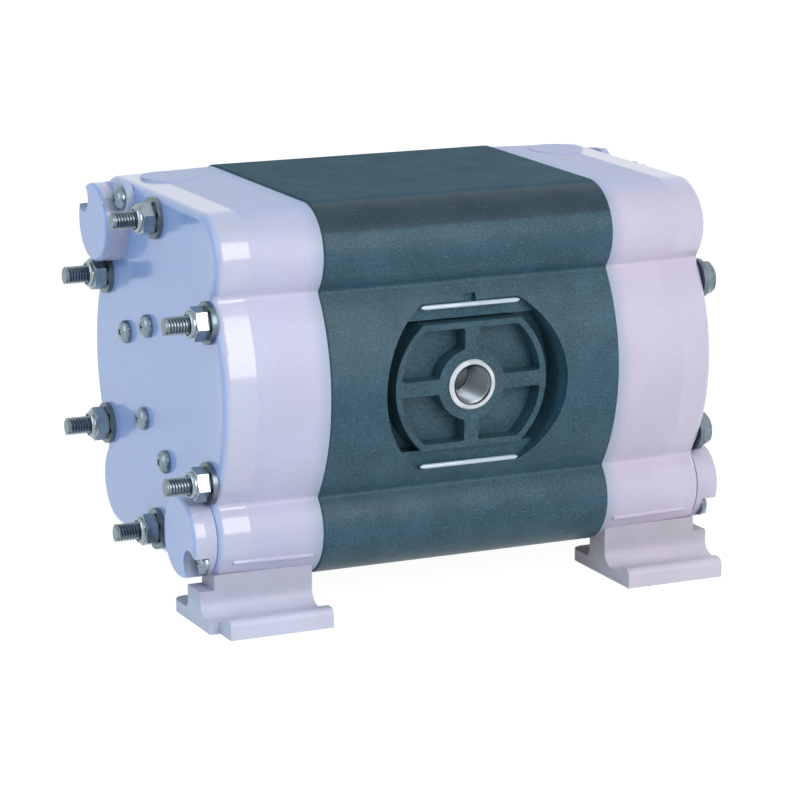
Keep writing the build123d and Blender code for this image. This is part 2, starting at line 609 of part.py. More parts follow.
def pan_head_screw(y, z, seat, tip):
    """Domed screw whose head stands on a face at X = seat and points to the left."""
    shank = rod_x(SCREW_R, seat, tip, y, z)
    head = rod_x(SCREW_HEAD_R, seat - SCREW_HEAD_HEIGHT, seat, y, z)
    head = fillet(head.edges().group_by(Axis.X)[0], SCREW_HEAD_ROUNDING * SCREW_HEAD_HEIGHT)
    return shank + head


# ---------------------------------------------------------------- feet


def foot_rail(start, length):
    """Front foot rail: T section with a raised, rounded toe, cut square at both ends."""
    floor = -AXIS_HEIGHT
    plate = floor + FOOT_PLATE
    lip = floor + FOOT_LIP_HEIGHT
    under = -HOUSING_TOP
    lip_back = -FOOT_FRONT + FOOT_LIP_WIDTH
    corners = [
        (-FOOT_FRONT, floor),
        (-FOOT_BACK, floor),
        (-FOOT_BACK, plate),
        (-FOOT_WEB_BACK, plate),
        (-FOOT_WEB_BACK, under),
        (-FOOT_WEB_FRONT, under),
        (-FOOT_WEB_FRONT, plate),
        (lip_back + FOOT_LIP_HEIGHT - FOOT_PLATE, plate),
        (lip_back, lip),
        (-FOOT_FRONT, lip),
    ]
    section = make_face(Polyline(*corners, close=True))

    def at(y, z):
        return section.vertices().sort_by_distance((y, z, 0))[0]

    web_fillet = min(FOOT_FILLET, FOOT_FILLET_SHARE * (FOOT_HEIGHT - FOOT_PLATE))
    section = fillet(at(-FOOT_WEB_FRONT, plate), web_fillet)
    section = fillet(at(-FOOT_WEB_BACK, plate), web_fillet / 2)
    section = fillet(at(-FOOT_FRONT, lip), FOOT_LIP_WIDTH / 2)
    rail = extrude(across(start) * section, amount=length)
    uprights = rail.edges().filter_by(Axis.Z)
    corners = uprights.filter_by(lambda edge: edge.center().Y > -FOOT_BACK - NEAR)
    return fillet(corners, FOOT_CORNER_R)


def foot_saddle(start, length):
    """Upper end of the web, tall enough to reach the curve of a lobe."""
    width = FOOT_WEB_FRONT - FOOT_WEB_BACK
    middle = -(FOOT_WEB_FRONT + FOOT_WEB_BACK) / 2
    block = Box(length, width, FOOT_SADDLE)
    return Pos(start + length / 2, middle, -HOUSING_TOP + FOOT_SADDLE / 2) * block


def foot_screw(x, y, grow=0.0):
    """Countersunk screw up through a foot's web into the housing."""
    low = -AXIS_HEIGHT + FOOT_SCREW_SINK
    top = -HOUSING_TOP + FOOT_SCREW_GRIP + grow
    shank_r = FOOT_SCREW_R + grow
    head_r = FOOT_SCREW_HEAD_R + grow
    head_top = low + FOOT_SCREW_HEAD_R - FOOT_SCREW_R
    profile = [(0, low), (head_r, low), (shank_r, head_top), (shank_r, top), (0, top)]
    face = make_face(Polyline(*profile, close=True))
    return Pos(x, y, 0) * revolve(Plane.XZ * face, axis=Axis.Z)


def front_foot_screw(x, grow=0.0):
    """Screw of the left front foot."""
    return foot_screw(x, -FOOT_SCREW_Y, grow)


def rear_foot_screw(x, grow=0.0):
    """Screw of the rear foot."""
    return foot_screw(x, FOOT_SCREW_Y, grow)


def foot_screw_hole(x, y):
    """Hole for a foot screw, open to the floor below its head."""
    mouth = rod_z(FOOT_SCREW_HEAD_R, -AXIS_HEIGHT, -AXIS_HEIGHT + FOOT_SCREW_SINK, x, y)
    return foot_screw(x, y) + mouth


def left_front_foot(blank):
    """Foot under the left cap's front lobe, with a stepped outer front corner."""
    outer_end = -FOOT_START - FOOT_LENGTH
    foot = foot_rail(outer_end, FOOT_LENGTH)
    foot = foot + foot_saddle(-CAP_END, CAP_END - FOOT_START) - blank
    step = Box(2 * FOOT_STEP_LENGTH, 2 * FOOT_STEP_WIDTH, 2 * FOOT_LIP_HEIGHT)
    foot -= Pos(outer_end, -FOOT_FRONT, -AXIS_HEIGHT + FOOT_LIP_HEIGHT) * step
    foot -= rod_z(FOOT_HOLE_R, -AXIS_HEIGHT, -AXIS_HEIGHT + FOOT_PLATE, -FOOT_HOLE_X, -FOOT_HOLE_Y)
    return foot - [foot_screw_hole(x, -FOOT_SCREW_Y) for x in FRONT_FOOT_SCREW_X]


def rear_foot(plain):
    """Rail of the same section under the rear of the centre body."""
    start = -REAR_FOOT_LENGTH / 2
    foot = foot_rail(start, REAR_FOOT_LENGTH)
    foot = foot + foot_saddle(start, REAR_FOOT_LENGTH) - turn_back(plain)
    hole = rod_z(FOOT_HOLE_R, -AXIS_HEIGHT, -AXIS_HEIGHT + FOOT_PLATE, REAR_HOLE_X, -FOOT_HOLE_Y)
    foot -= both_ends(hole)
    foot -= [foot_screw_hole(x, -FOOT_SCREW_Y) for x in REAR_FOOT_SCREW_X]
    return turn_back(foot)


# ---------------------------------------------------------------- diaphragms and shuttle


def right_diaphragm():
    """Flexible disc with a rolled fold between its clamped rim and its clamped middle."""
    hole_r = SHAFT_STUD_R + FREE_CLEARANCE
    fluid, air = DIAPHRAGM_FLUID_FACE, DIAPHRAGM_AIR_FACE
    roll_r = (DIAPHRAGM_ROLL_OUTER_R + DIAPHRAGM_ROLL_INNER_R) / 2
    spread = DIAPHRAGM_THICKNESS / 2
    fluid_start, fluid_end = (fluid, DIAPHRAGM_ROLL_INNER_R), (fluid, DIAPHRAGM_ROLL_OUTER_R)
    air_start, air_end = (air, DIAPHRAGM_ROLL_OUTER_R + spread), (air, DIAPHRAGM_ROLL_INNER_R - spread)
    outline = Line((fluid, hole_r), fluid_start)
    outline += ThreePointArc(fluid_start, (fluid - DIAPHRAGM_ROLL_DEPTH, roll_r), fluid_end)
    outline += Polyline(fluid_end, (fluid, DIAPHRAGM_R), (air, DIAPHRAGM_R), air_start)
    outline += ThreePointArc(air_start, (air - DIAPHRAGM_ROLL_DEPTH, roll_r), air_end)
    outline += Polyline(air_end, (air, hole_r), (fluid, hole_r))
    return revolve(make_face(outline), axis=Axis.X)


def right_inner_plate():
    """Stiff disc on the air side of the right diaphragm."""
    plate = ring_x(INNER_PLATE_R, SHAFT_STUD_R, INNER_PLATE_FACE, DIAPHRAGM_AIR_FACE)
    circles = plate.edges().filter_by(GeomType.CIRCLE)
    rims = circles.filter_by(lambda edge: edge.radius > INNER_PLATE_R - NEAR)
    return fillet(rims, INNER_PLATE_EDGE_R)


def right_outer_plate():
    """Domed nut plate on the fluid side of the right diaphragm, screwed on the shaft's stud."""
    start = DIAPHRAGM_FLUID_FACE
    edge = start + OUTER_PLATE_EDGE
    top = edge + OUTER_PLATE_DOME
    half = OUTER_PLATE_R / 2
    sphere_r = (OUTER_PLATE_R**2 + OUTER_PLATE_DOME**2) / (2 * OUTER_PLATE_DOME)
    mid = top - sphere_r + sqrt(sphere_r**2 - half**2)
    outline = Polyline((top, 0), (start, 0), (start, OUTER_PLATE_R), (edge, OUTER_PLATE_R))
    outline += ThreePointArc((edge, OUTER_PLATE_R), (mid, half), (top, 0))
    dome = revolve(make_face(outline), axis=Axis.X)
    return dome - rod_x(SHAFT_STUD_R, start, INNER_PLATE_FACE + SHAFT_STUD_LENGTH)


def diaphragm_shaft():
    """Shaft through the centre body with a stud at each end."""
    shaft = rod_x(SHAFT_R, -INNER_PLATE_FACE, INNER_PLATE_FACE)
    stud_end = INNER_PLATE_FACE + SHAFT_STUD_LENGTH
    return shaft + rod_x(SHAFT_STUD_R, -stud_end, stud_end)


def right_shaft_bush():
    """Plain bearing for the shaft at the right air chamber's floor."""
    start = CHAMBER_FLOOR - SHAFT_BUSH_LENGTH
    return ring_x(SHAFT_BUSH_R, SHAFT_R + RUNNING_CLEARANCE, start, CHAMBER_FLOOR)


def right_shaft_seal():
    """Lip seal behind the right shaft bush, as a plain ring."""
    end = CHAMBER_FLOOR - SHAFT_BUSH_LENGTH
    return ring_x(SHAFT_BUSH_R, SHAFT_R + RUNNING_CLEARANCE, end - SHAFT_SEAL_LENGTH, end)


# ---------------------------------------------------------------- air valve


def valve_sleeve():
    """Ported sleeve: a ring of holes opens into each of its outer grooves."""
    sleeve = ring_x(SLEEVE_R, SPOOL_R + RUNNING_CLEARANCE, -VALVE_END, VALVE_END, z=VALVE_Z)
    half = SLEEVE_GROOVE_WIDTH / 2
    for x in SLEEVE_PORT_X:
        sleeve -= ring_x(SLEEVE_R, SLEEVE_R - SLEEVE_GROOVE_DEPTH, x - half, x + half, z=VALVE_Z)
        sleeve -= rod_y(SLEEVE_PORT_R, -SLEEVE_R, SLEEVE_R, x=x, z=VALVE_Z)
    sleeve -= [sleeve_seal_ring(x) for x in SLEEVE_SEAL_X]
    return sleeve


def sleeve_seal_ring(x):
    """Square ring let into the sleeve's outside at X = x."""
    return ring_x(SLEEVE_R, SLEEVE_R - SEAL / 2, x - SEAL / 2, x + SEAL / 2, z=VALVE_Z)


def spool_land_middles():
    """Middles of the spool's three lands: one at each end and one between."""
    outer = SPOOL_HALF - SPOOL_LAND / 2
    return [-outer, 0.0, outer]


def spool_seal_ring(x):
    """Ring let into a land of the spool, flush with it."""
    half = SPOOL_SEAL_WIDTH / 2
    return ring_x(SPOOL_R, SPOOL_R - SPOOL_SEAL_DEPTH, x - half, x + half, z=VALVE_Z)


def valve_spool():
    """Spool with three lands, each grooved for a seal ring."""
    spool = rod_x(SPOOL_WAIST_R, -SPOOL_HALF, SPOOL_HALF, z=VALVE_Z)
    half = SPOOL_LAND / 2
    spool += [rod_x(SPOOL_R, x - half, x + half, z=VALVE_Z) for x in spool_land_middles()]
    return spool - [spool_seal_ring(x) for x in spool_land_middles()]


def right_end_plate():
    """Vented plate that closes the valve bore, let into the right chamber's floor."""
    return ring_x(END_PLATE_R, END_PLATE_VENT_R, VALVE_END, CHAMBER_FLOOR, z=VALVE_Z)


def pilot_pin():
    """Loose pin through the centre body, with rounded ends."""
    pin = rod_x(PILOT_R, -PILOT_TIP, PILOT_TIP, z=PILOT_Z)
    ends = pin.edges().group_by(Axis.X)
    return fillet(ends[0] + ends[-1], PILOT_END_R)


# ---------------------------------------------------------------- ball check valves


def valve_seat(x, y, z):
    """Seat ring whose lower face is at Z = z."""
    return rod_z(VALVE_BORE_R, z, z + SEAT_HEIGHT, x, y) - rod_z(SEAT_HOLE_R, z, z + SEAT_HEIGHT, x, y)


def valve_cage(x, y, z):
    """Slotted cup over the ball; z is the seat's lower face, on which the whole valve is measured."""
    low = z + SEAT_HEIGHT
    high = low + CAGE_HEIGHT
    cage = rod_z(VALVE_BORE_R, low, high, x, y)
    cage -= rod_z(VALVE_BORE_R - CAGE_WALL, low, high - CAGE_TOP, x, y)
    cage -= rod_z(SEAT_HOLE_R, high - CAGE_TOP, high, x, y)
    slot_low = low + CAGE_WALL
    slot_height = high - CAGE_TOP - slot_low
    slot_middle = Pos(x, y, slot_low + slot_height / 2)
    for turn in (0, 90):
        cage -= slot_middle * Rot(Z=turn) * Box(2 * VALVE_BORE_R + OVERSHOOT, CAGE_SLOT, slot_height)
    return cage


def valve_ball(x, y, z):
    """Ball just above its seat."""
    return Pos(x, y, z + BALL_CENTRE_RISE) * Sphere(BALL_R)


def valve_plug(side):
    """Flush plug that closes the left cap's upright bore: side is -1 for suction and 1 for discharge."""
    y = side * VALVE_Y
    return rod_z(VALVE_PLUG_R, side * VALVE_PLUG_SEAT, side * HOUSING_TOP, -VALVE_X, y)


# ---------------------------------------------------------------- build and write every part

os.makedirs("parts", exist_ok=True)

blank = cap_blank()
plain_body = extrude(across(-BODY_END) * housing_outline(BODY_PROUD), amount=BODY_LENGTH)
cap = left_cap(blank)
write("centre_body", centre_body(plain_body))
write("left_cap", cap)
write("right_cap", mirror_x(cap))

write("tie_bolts", solids_of([tie_bolt(y, z) for y, z in BOLT_PLACES]))
write("tie_bolt_nuts", solids_of([tie_bolt_nut(y, z) for y, z in BOLT_PLACES]))
write("nut_washers", solids_of([washer(y, z, -NUT_SEAT) for y, z in BOLT_PLACES]))
write("head_washers", solids_of([washer(y, z, CAP_END) for y, z in BOLT_PLACES]))

write("air_inlet_insert", air_inlet_insert())
write("air_inlet_bush", air_inlet_bush())
write("air_inlet_seal", insert_seal())
write("exhaust_cover", exhaust_cover())
write("exhaust_felt", muffler_felt())
write("exhaust_seal", turn_back(insert_seal()))

blank_port = port_piece()
threaded_port = blank_port - port_thread_cut()
write("suction_blank", blank_port)
write("discharge_blank", point_mirror(blank_port))
write("suction_port", mirror_x(threaded_port))
write("discharge_port", mirror_x(point_mirror(threaded_port)))
left_seals = [port_seal(), point_mirror(port_seal())]
write("port_seals", solids_of(both_ends(*left_seals)))
flange_seat = -CAP_END - PORT_FLANGE_THICKNESS
flange_tip = -CAP_END + FLANGE_SCREW_DEPTH
flange_places = [(side * y, side * z) for side in (-1, 1) for y, z in FLANGE_SCREW_PLACES]
flange_screws = [pan_head_screw(y, z, flange_seat, flange_tip) for y, z in flange_places]
write("left_port_screws", solids_of(flange_screws))
write("right_port_screws", solids_of([mirror_x(screw) for screw in flange_screws]))
cap_screws = [pan_head_screw(y, z, -CAP_END, -CAP_END + SCREW_DEPTH) for y, z in CAP_SCREW_PLACES]
write("left_cap_screws", solids_of(cap_screws))
write("right_cap_screws", solids_of([mirror_x(screw) for screw in cap_screws]))
manifold_ring = ring_x(MANIFOLD_R + SEAL, MANIFOLD_R, BODY_END - SEAL, BODY_END, -PORT_Y, -PORT_Z)
write("manifold_seals", solids_of(both_ends(manifold_ring, point_mirror(manifold_ring))))

front_foot = left_front_foot(blank)
write("left_front_foot", front_foot)
write("right_front_foot", mirror_x(front_foot))
write("rear_foot", rear_foot(plain_body))
left_foot_screws = [front_foot_screw(x) for x in FRONT_FOOT_SCREW_X]
rear_foot_screws = [rear_foot_screw(x) for x in REAR_FOOT_SCREW_X]
write("foot_screws", solids_of(both_ends(*left_foot_screws) + rear_foot_screws))

write("right_diaphragm", right_diaphragm())
write("left_diaphragm", mirror_x(right_diaphragm()))
write("right_inner_plate", right_inner_plate())
write("left_inner_plate", mirror_x(right_inner_plate()))
write("right_outer_plate", right_outer_plate())
write("left_outer_plate", mirror_x(right_outer_plate()))
write("diaphragm_shaft", diaphragm_shaft())
write("shaft_bushes", solids_of(both_ends(right_shaft_bush())))
write("shaft_seals", solids_of(both_ends(right_shaft_seal())))

write("valve_sleeve", valve_sleeve())
write("sleeve_seals", solids_of([sleeve_seal_ring(x) for x in SLEEVE_SEAL_X]))
write("valve_spool", valve_spool())
write("spool_seals", solids_of([spool_seal_ring(x) for x in spool_land_middles()]))
write("valve_end_plates", solids_of(both_ends(right_end_plate())))
write("pilot_pin", pilot_pin())

for end, x in (("left", -VALVE_X), ("right", VALVE_X)):
    for duty, y, z in (("suction", -VALVE_Y, SUCTION_SEAT_Z), ("discharge", VALVE_Y, DISCHARGE_SEAT_Z)):
        write(f"{end}_{duty}_seat", valve_seat(x, y, z))
        write(f"{end}_{duty}_cage", valve_cage(x, y, z))
        write(f"{end}_{duty}_ball", valve_ball(x, y, z))
write("valve_plugs", solids_of(both_ends(valve_plug(-1), valve_plug(1))))
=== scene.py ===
import math

import bmesh
import bpy
from mathutils import Matrix, Vector


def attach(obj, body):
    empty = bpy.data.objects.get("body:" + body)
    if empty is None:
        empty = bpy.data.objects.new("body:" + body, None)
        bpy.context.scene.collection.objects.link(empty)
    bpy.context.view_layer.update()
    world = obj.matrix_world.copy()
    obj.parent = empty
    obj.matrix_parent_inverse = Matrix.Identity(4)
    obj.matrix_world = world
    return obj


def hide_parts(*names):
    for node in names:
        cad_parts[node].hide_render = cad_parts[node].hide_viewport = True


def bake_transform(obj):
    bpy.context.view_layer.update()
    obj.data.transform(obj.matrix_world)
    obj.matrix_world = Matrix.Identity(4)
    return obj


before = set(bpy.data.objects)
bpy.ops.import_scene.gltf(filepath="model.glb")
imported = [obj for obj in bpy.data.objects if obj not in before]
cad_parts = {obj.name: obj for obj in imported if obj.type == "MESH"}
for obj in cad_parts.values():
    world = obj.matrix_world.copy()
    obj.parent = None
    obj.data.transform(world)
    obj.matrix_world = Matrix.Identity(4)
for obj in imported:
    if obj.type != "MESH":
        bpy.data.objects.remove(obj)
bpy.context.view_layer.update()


# ---------------------------------------------------------------- camera
# A long lens a little over a metre away, to the left of the air inlet and slightly above it.

lens_length = 157.27
camera_place = (-0.49844, -1.05362, 0.33074)
turned_left, tipped_down, rolled = -25.495, 13.23, 0.3355

camera = bpy.data.objects.new("camera", bpy.data.cameras.new("camera"))
camera.data.sensor_width = 36.0
camera.data.lens = lens_length
camera.data.clip_end = 20.0
standing = Matrix.Translation(camera_place)
for degrees, axis in ((turned_left, "Z"), (90.0 - tipped_down, "X"), (rolled, "Z")):
    standing = standing @ Matrix.Rotation(math.radians(degrees), 4, axis)
camera.matrix_world = standing
bpy.context.scene.collection.objects.link(camera)
bpy.context.scene.camera = camera


# ---------------------------------------------------------------- centre housing
# The dark middle section is moulded from glass-filled polypropylene, so its skin is a fine matt grain
# with pale flecks of fibre near the surface. It carries the air valve and both diaphragm chambers.

class Shade:
    """A socket of a material. Python's signs add Math nodes to it, and node() adds any other node."""

    def __init__(self, tree, socket=None):
        self.tree = tree
        self.socket = socket

    def node(self, kind, settings, values, output=0):
        made = self.tree.nodes.new(kind)
        for name, value in settings.items():
            setattr(made, name, value)
        for key, value in values.items():
            if isinstance(value, Shade):
                self.tree.links.new(value.socket, made.inputs[key])
            else:
                made.inputs[key].default_value = value
        return Shade(self.tree, made.outputs[output])

    def math(self, operation, first, second):
        return self.node("ShaderNodeMath", {"operation": operation}, {0: first, 1: second})

    def __add__(self, other):
        return self.math("ADD", self, other)

    def __radd__(self, other):
        return self.math("ADD", other, self)

    def __sub__(self, other):
        return self.math("SUBTRACT", self, other)

    def __rsub__(self, other):
        return self.math("SUBTRACT", other, self)

    def __mul__(self, other):
        return self.math("MULTIPLY", self, other)

    def __rmul__(self, other):
        return self.math("MULTIPLY", other, self)


def start_finish(name, **steady):
    """A new material, its shader with the values that are the same all over, and its Object coordinates."""
    material = bpy.data.materials.new(name)
    material.use_nodes = True
    tree = material.node_tree
    shader = tree.nodes["Principled BSDF"]
    for key, value in steady.items():
        shader.inputs[key.replace("_", " ").title().replace("Ior", "IOR")].default_value = value
    place = Shade(tree).node("ShaderNodeTexCoord", {}, {}, 3)
    return material, shader, place


def feed(shader, name, shade):
    """Links a Shade to one of the shader's sockets."""
    shade.tree.links.new(shade.socket, shader.inputs[name])


def noise(place, scale, detail=2.0, rough=0.5):
    """Noise from 0 to 1 at so many cells a metre."""
    values = {"Vector": place, "Scale": scale, "Detail": detail, "Roughness": rough}
    return place.node("ShaderNodeTexNoise", {}, values)


def band(shade, low, high):
    """0 below low and 1 above high, smooth between."""
    settings = {"interpolation_type": "SMOOTHSTEP"}
    return shade.node("ShaderNodeMapRange", settings, {"Value": shade, "From Min": low, "From Max": high})


def tint(factor, first, second):
    """The first colour where factor is 0 and the second where it is 1."""
    return factor.node("ShaderNodeMix", {"data_type": "RGBA"}, {0: factor, 6: first, 7: second}, 2)


def bump(height, distance, strength=1.0, under=None):
    """A normal from a height, over a coarser bump if there is one."""
    values = {"Height": height, "Distance": distance, "Strength": strength}
    if under is not None:
        values["Normal"] = under
    return height.node("ShaderNodeBump", {}, values)


def stretched(place, x, y, z):
    """Object space stretched, so that a pattern runs along one way."""
    return place.node("ShaderNodeMapping", {}, {"Vector": place, "Scale": (x, y, z)})


def dress(material, *names):
    """Gives CAD nodes their finish."""
    for name in names:
        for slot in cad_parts[name].material_slots:
            slot.material = material


def shaded(colour, share):
    """The colour times a share."""
    settings = {"data_type": "RGBA", "blend_type": "MULTIPLY"}
    return share.node("ShaderNodeMix", settings, {0: 1.0, 6: colour, 7: share}, 2)


def darkened(colour, factor, share):
    """The colour times share where factor is 1."""
    return shaded(colour, factor * (share - 1.0) + 1.0)


def coordinates(place):
    """The x, y and z of a place in Object space."""
    return [place.node("ShaderNodeSeparateXYZ", {}, {"Vector": place}, output) for output in range(3)]


def dark_moulding(name, deep, pale, fleck, skin):
    """Dark glass-filled plastic: grain, mottling and short pale fibres, times the painted light and shade
    that skin gives.
    """
    material, shader, place = start_finish(name, specular_ior_level=0.3)
    grain = noise(place, 1500.0, 3.0, 0.6)
    mottle = noise(place, 90.0, 2.0)
    fibres = band(noise(stretched(place, 0.25, 1.0, 1.0), 1900.0, 1.0), 0.66, 0.8)
    body = tint(band(grain * 0.7 + mottle * 0.3, 0.36, 0.66), deep, pale)
    flecked = tint(fibres * 0.5, body, fleck)
    feed(shader, "Base Color", shaded(flecked, skin(place)))
    flat_top = band(coordinates(place)[2], *flat_top_skin)
    feed(shader, "Roughness", 0.32 + grain * 0.2 + flat_top * 0.45)
    feed(shader, "Normal", bump(grain, 0.00012, 0.6, bump(mottle, 0.0006, 0.25)))
    return material


def reach(first, second):
    """Length of a flat vector."""
    squares = first * first + second * second
    return squares.math("POWER", squares, 0.5)


axis_height = 0.0735
middle = 0.0038
flat_top_skin = (0.1346, 0.1354)
recess_edge = (0.0345, 0.0340)
bulge_edge = (0.0594, 0.0590)
shoulder_foot, shoulder_rim = (0.1262, 0.1276), (0.1352, 0.1346)
shoulder_width_squared = (0.0009, 0.0011)
recess_painted_light, shoulder_shade = 0.35, 0.45


def painted_recess_light_and_shoulder_shade(place):
    """Painted light in the round recesses at front and rear, and painted shade on the shoulders by the top.
    """
    x, y, z = coordinates(place)
    up = z - axis_height
    # Painted light: the shaded recesses are painted paler. Painted shade: the shoulders under the top face
    # are painted darker.
    in_recess = band(reach(x - middle, up), *recess_edge) * band(reach(y, up), *bulge_edge)
    shoulder = band(z, *shoulder_foot) * band(z, *shoulder_rim) * band(y * y, *shoulder_width_squared)
    return 1.0 + in_recess * recess_painted_light - shoulder * shoulder_shade


housing_plastic = dark_moulding(
    "housing_plastic",
    deep=(0.018, 0.055, 0.075, 1),
    pale=(0.042, 0.10, 0.13, 1),
    fleck=(0.12, 0.20, 0.24, 1),
    skin=painted_recess_light_and_shoulder_shade,
)
dress(housing_plastic, "centre_body")


# ---------------------------------------------------------------- front insert and rear exhaust cover
# Two loose discs of the same plastic, dropped in their recesses and held by a seal. Their ribs and
# pockets come from a coarser mould, and the shaded pocket floors are painted a little paler, as painted
# light.

rib_face, pocket_floor = 0.05435, 0.0535
pocket_painted_light = 0.08


def painted_light_in_pockets(place):
    """Painted light: a paler colour behind the faces of the two discs, on the shaded pocket floors."""
    y = coordinates(place)[1]
    return 1.0 + band(y * y, rib_face ** 2, pocket_floor ** 2) * pocket_painted_light


insert_plastic = dark_moulding(
    "insert_plastic",
    deep=(0.019, 0.055, 0.072, 1),
    pale=(0.046, 0.105, 0.132, 1),
    fleck=(0.1, 0.17, 0.2, 1),
    skin=painted_light_in_pockets,
)
dress(insert_plastic, "air_inlet_insert", "exhaust_cover")


# ---------------------------------------------------------------- end caps
# Both caps are natural polypropylene, a milky plastic that looks lilac where the light strikes it. The end
# walls carry painted shade, darker and bluer, the top a little painted blue skylight, and the seam painted
# shade. The outer 11.5 mm was polished in the mould, the rest is satin.

seam_shade = (0.0605, 0.0526)
painted_top_skylight = (0.1300, 0.1352)
front_to_shade = (-0.062, -0.025)
left_to_right = (-0.01, 0.01)
cap_polish, cap_shaded_end_wall = 0.0775, (0.0868, 0.0890)


def lilac(x, left, right):
    """Natural polypropylene, a little bluer at the left end of the pump and pinker at the right."""
    return tint(band(x, -0.09, 0.09), left, right)


def milky_moulding(name, polish_from, shaded_end_wall_at):
    """Clouded polypropylene: painted shade on end wall and seam, painted skylight on top, and a polished
    strip.
    """
    material, shader, place = start_finish(name, coat_roughness=0.1, specular_ior_level=0.4)
    x, y, z = coordinates(place)
    from_middle = x.math("ABSOLUTE", x - middle, 0.0)
    clouds = noise(place, 42.0, 3.0)
    speckle = noise(place, 1100.0, 2.0)
    skin = darkened(lilac(x, (0.565, 0.55, 0.67, 1), (0.60, 0.53, 0.62, 1)), band(clouds, 0.3, 0.72), 0.93)
    skin = darkened(skin, band(speckle, 0.35, 0.7), 0.96)
    # Painted shade by the seam, where the cap meets the dark housing.
    by_seam = band(from_middle, *seam_shade)
    skin = tint(by_seam * by_seam * 0.55, skin, (0.30, 0.38, 0.47, 1))
    # Painted light: the top face is painted bluer, as if lit by a blue sky.
    skin = tint(band(z, *painted_top_skylight) * 0.5, skin, (0.44, 0.52, 0.76, 1))
    # Painted shade: the end walls are painted darker and bluer, lighter towards the front edge and lilac at
    # the right end.
    shaded_end_wall = tint(band(y, *front_to_shade), (0.37, 0.45, 0.72, 1), (0.27, 0.385, 0.68, 1))
    shaded_end_wall = tint(band(x, *left_to_right), shaded_end_wall, (0.50, 0.50, 0.66, 1))
    feed(shader, "Base Color", tint(band(from_middle, *shaded_end_wall_at), skin, shaded_end_wall))
    polish = band(from_middle, polish_from, polish_from + 0.0006)
    feed(shader, "Roughness", 0.42 - polish * 0.14 + speckle * 0.08)
    feed(shader, "Coat Weight", polish * 0.9)
    feed(shader, "Normal", bump(speckle, 0.00008, 0.4, bump(clouds, 0.0012, 0.12)))
    return material


cap_plastic = milky_moulding("cap_plastic", cap_polish, cap_shaded_end_wall)
dress(cap_plastic, "left_cap", "right_cap")


# ---------------------------------------------------------------- port pieces and valve plugs
# Screwed-on end pieces of the fluid lobes, in the same milky plastic as the caps. The left pair is
# blank and the right pair takes the pipes.

port_polish, port_shaded_end_wall = 0.0925, (0.0955, 0.0968)

port_plastic = milky_moulding("port_plastic", port_polish, port_shaded_end_wall)
dress(port_plastic, "suction_blank", "discharge_blank", "suction_port", "discharge_port", "valve_plugs")


# ---------------------------------------------------------------- feet
# Extruded rails of the same natural plastic with a rounded toe, sawn to length, so their ends are
# slightly rough and their faces carry faint lines along the rail.

foot_shadow = (0.0045, 0.0115)

foot_plastic, foot_shader, foot_place = start_finish("foot_plastic")
drawn = noise(stretched(foot_place, 0.03, 1.0, 1.0), 900.0, 2.0)
foot_cloud = noise(foot_place, 55.0, 3.0)
foot_x, _, foot_z = coordinates(foot_place)
foot_milk = lilac(foot_x, (0.62, 0.62, 0.71, 1), (0.64, 0.58, 0.63, 1))
foot_milk = darkened(foot_milk, band(foot_cloud, 0.32, 0.7), 0.93)
# Painted shadow: the upper part of each foot, under the pump, is painted darker.
foot_milk = darkened(foot_milk, band(foot_z, *foot_shadow), 0.8)
feed(foot_shader, "Base Color", darkened(foot_milk, drawn, 0.94))
feed(foot_shader, "Roughness", 0.4 + drawn * 0.16)
feed(foot_shader, "Normal", bump(drawn, 0.00008, 0.4, bump(foot_cloud, 0.001, 0.1)))
dress(foot_plastic, "left_front_foot", "right_front_foot", "rear_foot")


# ---------------------------------------------------------------- tie bolts
# Six M6 hexagon bolts run from the right cap to the left one. They are stainless, with rolled thread
# where they stand out of their nuts, and they pull the whole pump together.

def plain_steel(name, dark, bright, roughness):
    """Stainless fastener steel: fine turning marks, drawn scratches and a little staining."""
    material, shader, place = start_finish(name, metallic=1.0)
    scratches = noise(stretched(place, 0.12, 1.0, 1.0), 3200.0, 2.0)
    stains = noise(place, 260.0, 3.0)
    feed(shader, "Base Color", tint(band(stains * 0.5 + scratches * 0.5, 0.2, 0.8), dark, bright))
    feed(shader, "Roughness", roughness + scratches * 0.12 - stains * 0.06)
    feed(shader, "Normal", bump(scratches, 0.00003, 0.35))
    return material


merge_distance = 1e-6
same_place = 1e-7
thread_merge, thread_sliver = 2e-5, 1e-5
chamfer_share, chamfer_angle = 0.97, math.radians(30.0)
sharp_angle = math.radians(34.0)


def outlined(mesh, points):
    """The vertices and edges of an open outline of (along, radius) points over the X axis."""
    made = [mesh.verts.new((along, 0.0, radius)) for along, radius in points]
    return made + [mesh.edges.new(pair) for pair in zip(made, made[1:])]


def spun(mesh, geometry, angle, steps, climb=0.0, closed=False):
    """Spins geometry round the X axis by an angle, climbing along the axis by so much a step."""
    bmesh.ops.spin(
        mesh, geom=geometry, cent=(0, 0, 0), axis=(1, 0, 0), dvec=(climb, 0, 0), angle=angle, steps=steps,
        use_merge=closed, use_normal_flip=False, use_duplicate=False,
    )


def turned(mesh, outline, steps):
    """A closed turned shape round the X axis, from (along, radius) points."""
    spun(mesh, outlined(mesh, outline), math.tau, steps, closed=True)
    bmesh.ops.remove_doubles(mesh, verts=mesh.verts[:], dist=merge_distance)


def drawn_to(vert, along, radius):
    """Moves a vertex straight out from the X axis, to a place along it and a radius."""
    share = radius / math.hypot(vert.co.y, vert.co.z)
    vert.co = (along, vert.co.y * share, vert.co.z * share)


